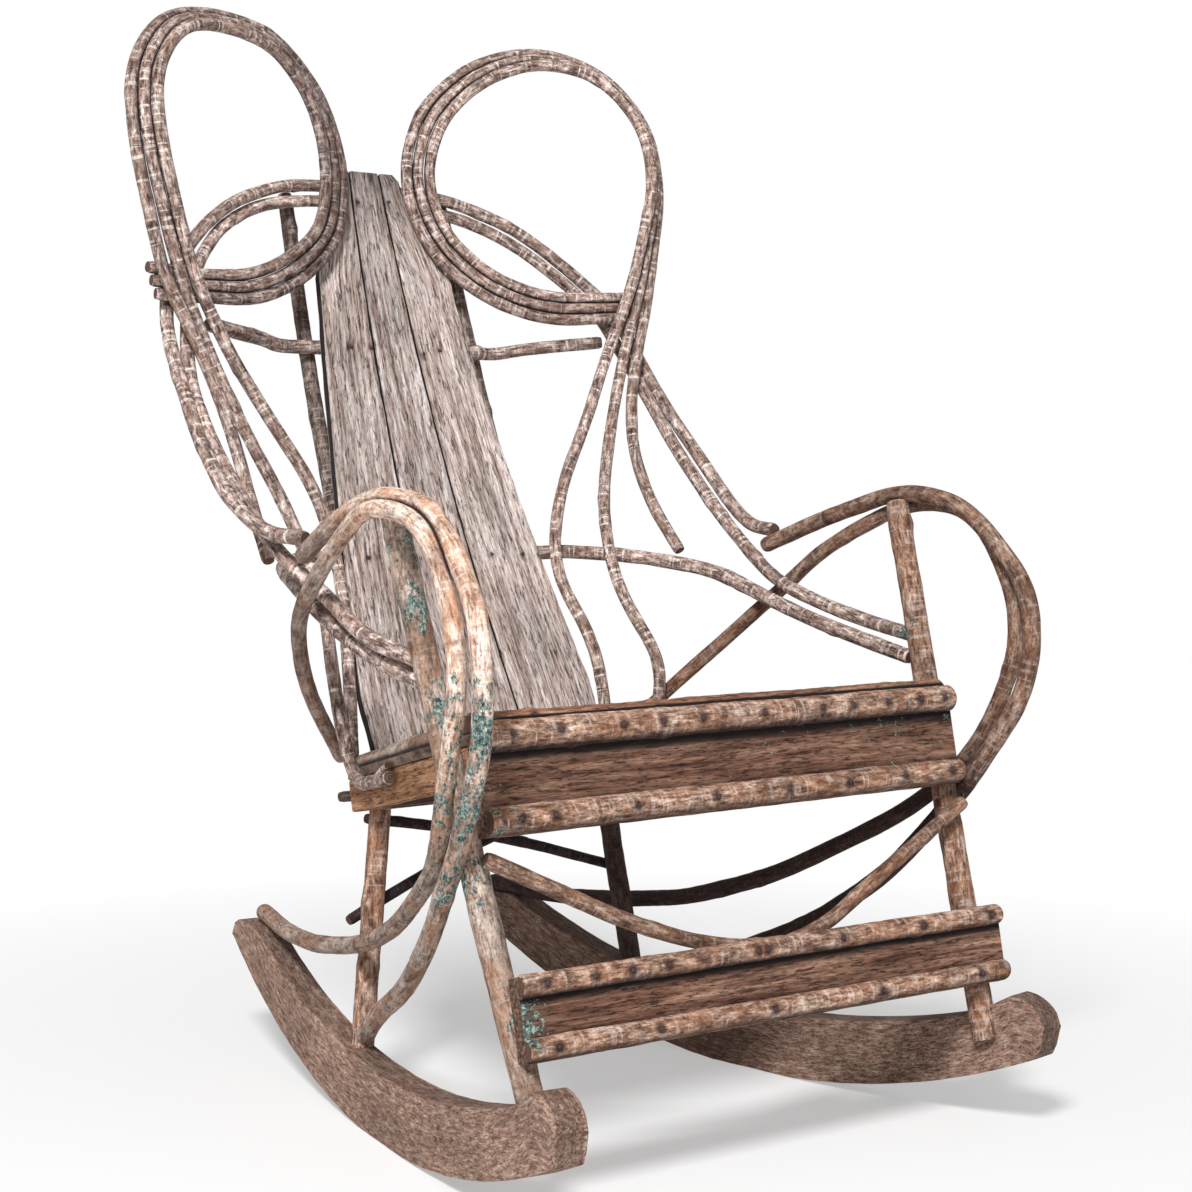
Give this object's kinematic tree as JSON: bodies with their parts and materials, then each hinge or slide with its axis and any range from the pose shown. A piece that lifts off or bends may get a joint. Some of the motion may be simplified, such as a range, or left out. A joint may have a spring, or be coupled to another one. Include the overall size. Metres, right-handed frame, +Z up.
{
  "type": "rocking chair",
  "caption": "Rustic rocking chair with bent hickory rod arms and ear hoops, a tapered board splat, a sloping board seat, a footboard and sawn rockers.",
  "frame": {"origin": "centre of the footprint of the chair's bounding box, on the floor under the rockers", "axes": "+Z up; the sitter faces -Y, so the back and the rockers' tails are at +Y; +X is the right-hand side as seen from the front"},
  "size_m": [0.67, 0.7974, 1.1047],
  "materials": {
    "bark": "weathered bark",
    "frame_board": "rough weathered boards",
    "splat_board": "silvery weathered boards",
    "rocker": "worn sawn planks"
  },
  "bodies": {
    "root": {"front_post_right": "bark", "front_post_left": "bark", "rear_leg_right": "bark", "rear_leg_left": "bark", "back_post_right": "bark", "back_post_left": "bark", "apron_pole_upper": "bark", "apron_pole_lower": "bark", "front_trim": "bark", "side_trim_right": "bark", "side_trim_left": "bark", "footboard_pole_upper": "bark", "footboard_pole_lower": "bark", "cross_rail_upper": "bark", "cross_rail_lower": "bark", "rear_cross_pole": "bark", "ear_rod_outer_right": "bark", "ear_rod_outer_left": "bark", "ear_rod_middle_right": "bark", "ear_rod_middle_left": "bark", "ear_rod_inner_right": "bark", "ear_rod_inner_left": "bark", "back_arc_outer_right": "bark", "back_arc_outer_left": "bark", "back_arc_inner_right": "bark", "back_arc_inner_left": "bark", "arm_rod_outer_right": "bark", "arm_rod_outer_left": "bark", "arm_rod_inner_right": "bark", "arm_rod_inner_left": "bark", "festoon_left": "bark", "festoon_right": "bark", "brace_rising": "bark", "brace_falling": "bark", "apron_board": "frame_board", "side_rail_right": "frame_board", "side_rail_left": "frame_board", "rear_rail": "frame_board", "footboard": "frame_board", "seat_board_inner_right": "frame_board", "seat_board_inner_left": "frame_board", "seat_board_outer_right": "frame_board", "seat_board_outer_left": "frame_board", "splat_board_left": "splat_board", "splat_board_middle": "splat_board", "splat_board_right": "splat_board", "rocker_right": "rocker", "rocker_left": "rocker"}
  },
  "joints": []
}
